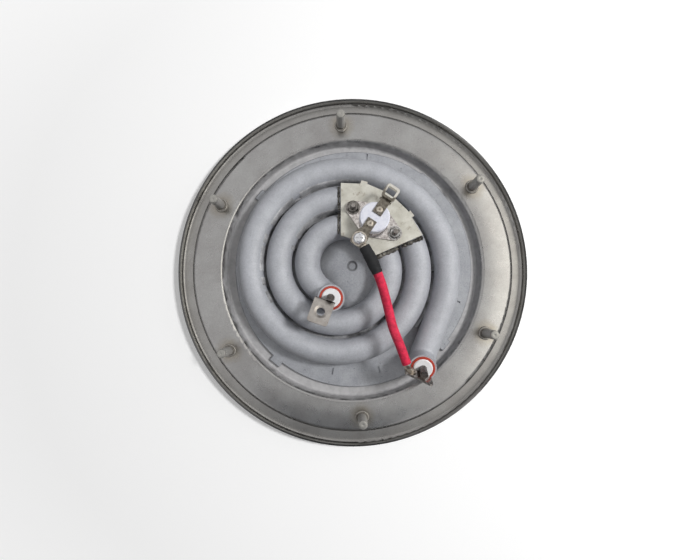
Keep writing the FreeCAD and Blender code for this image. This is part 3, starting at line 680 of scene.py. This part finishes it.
def make_crust(look):
    """Filler squeezed out along the sides of the bracket, where it crosses the turns."""
    # Name, ends of the bracket's side, places for lumps along it, their size in millimetres
    sides = (
        ("right", Vector((38.8, 16.0)) * MM, Vector((13.6, 5.1)) * MM, 46, 1.25),
        ("left", Vector((-7.1, 45.0)) * MM, Vector((-7.1, 18.5)) * MM, 34, 0.75),
    )
    stray = -0.3 * MM
    tube_line = coil_line(0, 0, coil_end, 1 * MM)
    for name, start, end, count, size in sides:
        bm = bmesh.new()
        along = (end - start).normalized()
        for number in range(count):
            place = start.lerp(end, (number + 0.5) / count)
            jitter = noise.noise(Vector((number * 1.7, count, 0.3)))
            place = place + Vector((along.y, -along.x)) * (stray * jitter)
            top = tube_top(place, tube_line)
            if top is None:
                continue
            radius = size * MM * (0.75 + 0.5 * jitter)
            height = min(top + radius * 0.2, crust_limit - radius * 0.9)
            lump(bm, Vector((place.x, place.y, height)), radius, number)
        mesh_piece(f"{name}_crust", bm, look)


def make_sleeve(look):
    """Shrink sleeve over the start of the lead: it bulges over the joint and grips the lead."""
    start, corner, end = (Vector(point) * MM for point in sleeve_line)
    along = 36
    around = 32
    crease_depth = 0.22
    wrinkle_depth = 0.08
    grip_start = 0.8
    outer, inner = [], []
    for step in range(along + 1):
        share = step / along
        place = start.lerp(corner, share).lerp(corner.lerp(end, share), share)
        ahead = (corner - start).lerp(end - corner, share).normalized()
        across = ahead.cross(Vector((0, 0, 1))).normalized()
        up = across.cross(ahead)
        swell = sleeve_outer + sleeve_bulge * math.sin(math.pi * min(1.0, share * 1.15))
        swell -= sleeve_bulge * max(0.0, share - grip_start) / 0.2
        far, near = [], []
        for spoke in range(around):
            angle = 2 * math.pi * spoke / around
            right, top = math.cos(angle), math.sin(angle)
            out = across * right + up * top
            crease = noise.noise(Vector((share * 9, right * 0.8, top * 0.8)))
            wrinkle = noise.noise(Vector((share * 22, right * 2, top * 2 + 5)))
            radius = swell + crease_depth * crease + wrinkle_depth * wrinkle
            far.append(place + out * (radius * MM))
            near.append(place + out * (sleeve_inner * MM))
        outer.append(far)
        inner.append(near)
    bm = bmesh.new()
    loops = [[bm.verts.new(point) for point in ring] for ring in outer + inner[::-1]]
    for below, above in zip(loops, loops[1:] + loops[:1]):
        join_loops(bm, below, above)
    mesh_piece("creased_sleeve", bm, look, ["shrink_sleeve"])


def soften(width, *names):
    """Round the sharp edges of CAD nodes, in millimetres, so that they catch the light."""
    for name in names:
        bevel = nodes[name].modifiers.new("soft_edges", "BEVEL")
        bevel.width = width * MM
        bevel.segments = 2
        bevel.limit_method = "ANGLE"
        bevel.angle_limit = math.radians(35)


def dress_plate():
    """Materials of the large pieces, and the filler that brazing left on them."""
    dress(stainless(), "base_plate")
    dress(spreader_metal(), "spreader_plate")
    dress(tube_metal("tube_aluminium", srgb(194, 196, 202), srgb(184, 186, 192)), "heating_tube")
    dress(bracket_metal(), "thermostat_bracket")
    crust = tube_metal("braze_filler", srgb(150, 146, 138), srgb(58, 54, 50), 0.8)
    dress(crust, "inner_braze_seam", "outer_braze_seam")
    make_residue(tube_metal("braze_residue", srgb(210, 210, 212), srgb(136, 136, 138), 0.7))
    make_crust(crust)


def dress_insulators():
    """Materials of what is ceramic, rubber or silicone, and the sleeve's piece."""
    body = ceramic("white_ceramic", srgb(228, 229, 238), srgb(208, 210, 224))
    dress(body, "thermostat_body", "guide_plate", "push_pin")
    bush = ceramic("bush_ceramic", srgb(240, 240, 242), srgb(226, 224, 222))
    dress(bush, "inner_ceramic_bush", "outer_ceramic_bush")
    dress(ceramic("magnesia", srgb(226, 222, 208), srgb(206, 202, 190), 0.8), "magnesia_filling")
    seal = rubber("red_seal", srgb(190, 76, 58), srgb(160, 56, 44), 0.5)
    dress(seal, "inner_seal_ring", "outer_seal_ring")
    dress(rubber("red_silicone", srgb(222, 42, 78), srgb(178, 26, 58), 0.5, 2.0), "lead_insulation")
    sleeve = rubber("black_sleeve", srgb(30, 31, 34), srgb(15, 16, 18), 0.6, 4.0, 0.08)
    dress(sleeve, "shrink_sleeve")
    make_sleeve(sleeve)


def dress_small_metal():
    """Materials of pins, blades, screws, nuts, terminals and wires."""
    dress(blade_metal(), "inner_blade")
    dress(polished_metal(), "thermostat_flange", "thermostat_cup")
    dress(tarnished_metal(), "upper_terminal", "lower_terminal")
    # Material, its light and dark colour, its roughness, and the nodes that have it
    plain = (
        (
            "pin_steel", (110, 104, 102), (64, 60, 58), 0.4,
            "inner_terminal_pin", "outer_terminal_pin",
        ),
        ("tail_steel", (176, 170, 164), (112, 104, 98), 0.22, "outer_blade"),
        ("resistance_wire", (96, 90, 84), (70, 64, 60), 0.5, "resistance_coil"),
        (
            "bright_terminal", (192, 185, 174), (160, 151, 140), 0.3,
            "ring_terminal", "crimp_terminal", "upper_rivet", "lower_rivet", "crimp_rivet",
        ),
        ("zinc_steel", (222, 222, 224), (196, 196, 198), 0.24, "clamp_screw", "clamp_nut"),
        # The bracket nuts are a shaded and a lit copy of one zinc: the left one's darker colours
        # are painted shade, the right one's brighter colours a painted highlight
        ("zinc_painted_shade", (136, 132, 128), (80, 76, 72), 0.2, "bracket_nut_left"),
        ("zinc_painted_highlight", (186, 184, 182), (92, 88, 84), 0.18, "bracket_nut_right"),
        ("spring_bronze", (200, 160, 96), (176, 136, 80), 0.35, "bimetal_disc", "contact_spring"),
        ("copper_strand", (206, 134, 98), (180, 108, 76), 0.35, "lead_conductor"),
    )
    for name, light, dark, roughness, *wearers in plain:
        dress(plain_metal(name, srgb(*light), srgb(*dark), roughness), *wearers)


def make_looks():
    """Every material, the pieces that replace or join CAD nodes, and the rounded edges."""
    dress_plate()
    dress_insulators()
    dress_small_metal()
    make_studs(stud_metal())
    make_bracket_screws(
        plain_metal("screw_steel", srgb(150, 146, 142), srgb(110, 104, 100), 0.34)
    )
    soften(0.22, "upper_terminal", "lower_terminal", "outer_blade")
    soften(0.12, "inner_blade", "clamp_nut")
    soften(0.15, "bracket_nut_left", "bracket_nut_right", "clamp_screw", "ring_terminal")
    soften(0.4, "thermostat_bracket")


def make_camera():
    """The photograph's viewpoint: close above the middle, leaning a little."""
    # Both in pixels of the photograph's frame
    photo_width = 678
    focal_length = 424
    data = bpy.data.cameras.new("camera")
    data.sensor_width = 36.0
    data.lens = focal_length / photo_width * data.sensor_width
    data.clip_start = 0.01
    camera = bpy.data.objects.new("camera", data)
    camera.location = (-2.0 * MM, -21.0 * MM, 248.5 * MM)
    camera.rotation_euler = (math.radians(3.4), math.radians(1.2), 0)
    bpy.context.scene.collection.objects.link(camera)
    bpy.context.scene.camera = camera


def square_sheet(name, half, look):
    """Flat square for the studio."""
    bm = bmesh.new()
    bmesh.ops.create_grid(bm, x_segments=1, y_segments=1, size=half)
    data = bpy.data.meshes.new(name)
    bm.to_mesh(data)
    bm.free()
    data.materials.append(look.material)
    sheet = bpy.data.objects.new(name, data)
    bpy.context.scene.collection.objects.link(sheet)
    return sheet


def facing_middle(place):
    """Rotation of a lamp or card at a place, so that it faces the plate."""
    return Vector(place).to_track_quat("Z", "Y").to_euler()


def make_floor():
    """Pale floor just under the lip. To the eye it brightens to white away from the plate."""
    half_width = 4.0
    gap = 0.3 * MM
    look = Look("floor", roughness=0.9, Base_Color=(0.86, 0.86, 0.86, 1), Emission_Color=WHITE)
    seen = look.node("ShaderNodeLightPath").outputs["Is Camera Ray"]
    glow = look.ramp(look.distance_to_axis(), (0.2, 0.22), (0.8, 1.0))
    look.link(look.maths("MULTIPLY", seen, glow), look.shader.inputs["Emission Strength"])
    floor = square_sheet("floor", half_width, look)
    floor.location.z = -gap


def make_world():
    """White to the eye, to metal and to glass, and a dimmer even light on everything else."""
    world = bpy.data.worlds.new("studio")
    bpy.context.scene.world = world
    world.use_nodes = True
    tree = world.node_tree
    tree.nodes.clear()
    output = tree.nodes.new("ShaderNodeOutputWorld")
    mix = tree.nodes.new("ShaderNodeMixShader")
    path = tree.nodes.new("ShaderNodeLightPath")
    seen = path.outputs["Is Camera Ray"]
    for ray in ("Is Glossy Ray", "Is Transmission Ray"):
        larger = tree.nodes.new("ShaderNodeMath")
        larger.operation = "MAXIMUM"
        tree.links.new(seen, larger.inputs[0])
        tree.links.new(path.outputs[ray], larger.inputs[1])
        seen = larger.outputs[0]
    tree.links.new(seen, mix.inputs["Fac"])
    even_light, seen_light = 0.3, 1.0
    for number, strength in ((1, even_light), (2, seen_light)):
        background = tree.nodes.new("ShaderNodeBackground")
        background.inputs["Color"].default_value = WHITE
        background.inputs["Strength"].default_value = strength
        tree.links.new(background.outputs[0], mix.inputs[number])
    tree.links.new(mix.outputs[0], output.inputs["Surface"])


def make_light(name, place, size, power):
    """Soft lamp. The cards stand for it in reflections."""
    data = bpy.data.lights.new(name, "AREA")
    data.size = size
    data.energy = power
    lamp = bpy.data.objects.new(name, data)
    lamp.location = place
    lamp.visible_glossy = False
    lamp.rotation_euler = facing_middle(place)
    bpy.context.scene.collection.objects.link(lamp)


def make_card(name, place, width, height, level, shades="glossy", tint=WHITE):
    """Studio card of one even brightness, seen only in reflections or only by diffuse light."""
    look = Look(
        name,
        roughness=1.0,
        Base_Color=BLACK,
        Specular_IOR_Level=0.0,
        Emission_Color=tint,
        Emission_Strength=level,
    )
    card = square_sheet(name, 0.5, look)
    card.location = place
    card.rotation_euler = facing_middle(place)
    card.scale = (width, height, 1)
    card.visible_camera = False
    card.visible_diffuse = shades == "diffuse"
    card.visible_glossy = shades == "glossy"
    card.visible_transmission = False
    card.visible_shadow = False


make_looks()
make_camera()
make_floor()
make_world()
# Lamps: place, size, watts. Cards: place, width, height, brightness
make_light("key", (0.6, 0.14, 0.8), 0.16, 7.8)
make_light("side", (0.8, 0.3, 0.3), 0.5, 0.9)
make_card("right_card", (0.62, 0.07, 0.68), 0.8, 0.58, 2.7, tint=(1, 0.98, 0.91, 1))
make_card("ceiling_card", (-0.25, 0.1, 0.95), 0.8, 1.1, 0.98)
make_card("right_low_card", (0.95, 0.0, 0.2), 1.6, 0.45, 0.12)
make_card("over_card", (-0.02, -0.03, 0.5), 0.09, 0.15, 0.05)
make_card("near_card", (-0.04, -0.31, 0.30), 0.32, 0.36, 0.3, tint=(0.9, 0.94, 1, 1))
make_card("near_flag", (0.0, -0.75, 0.4), 1.5, 0.9, 0.02, shades="diffuse")
make_card("near_low_card", (-0.1, -0.9, 0.12), 1.8, 0.5, 0.1)
make_card("left_card", (-0.9, 0.0, 0.2), 1.4, 0.45, 0.4)
make_card("far_card", (-0.2, 0.9, 0.2), 1.5, 0.45, 0.2)
bpy.context.scene.view_settings.view_transform = "Standard"
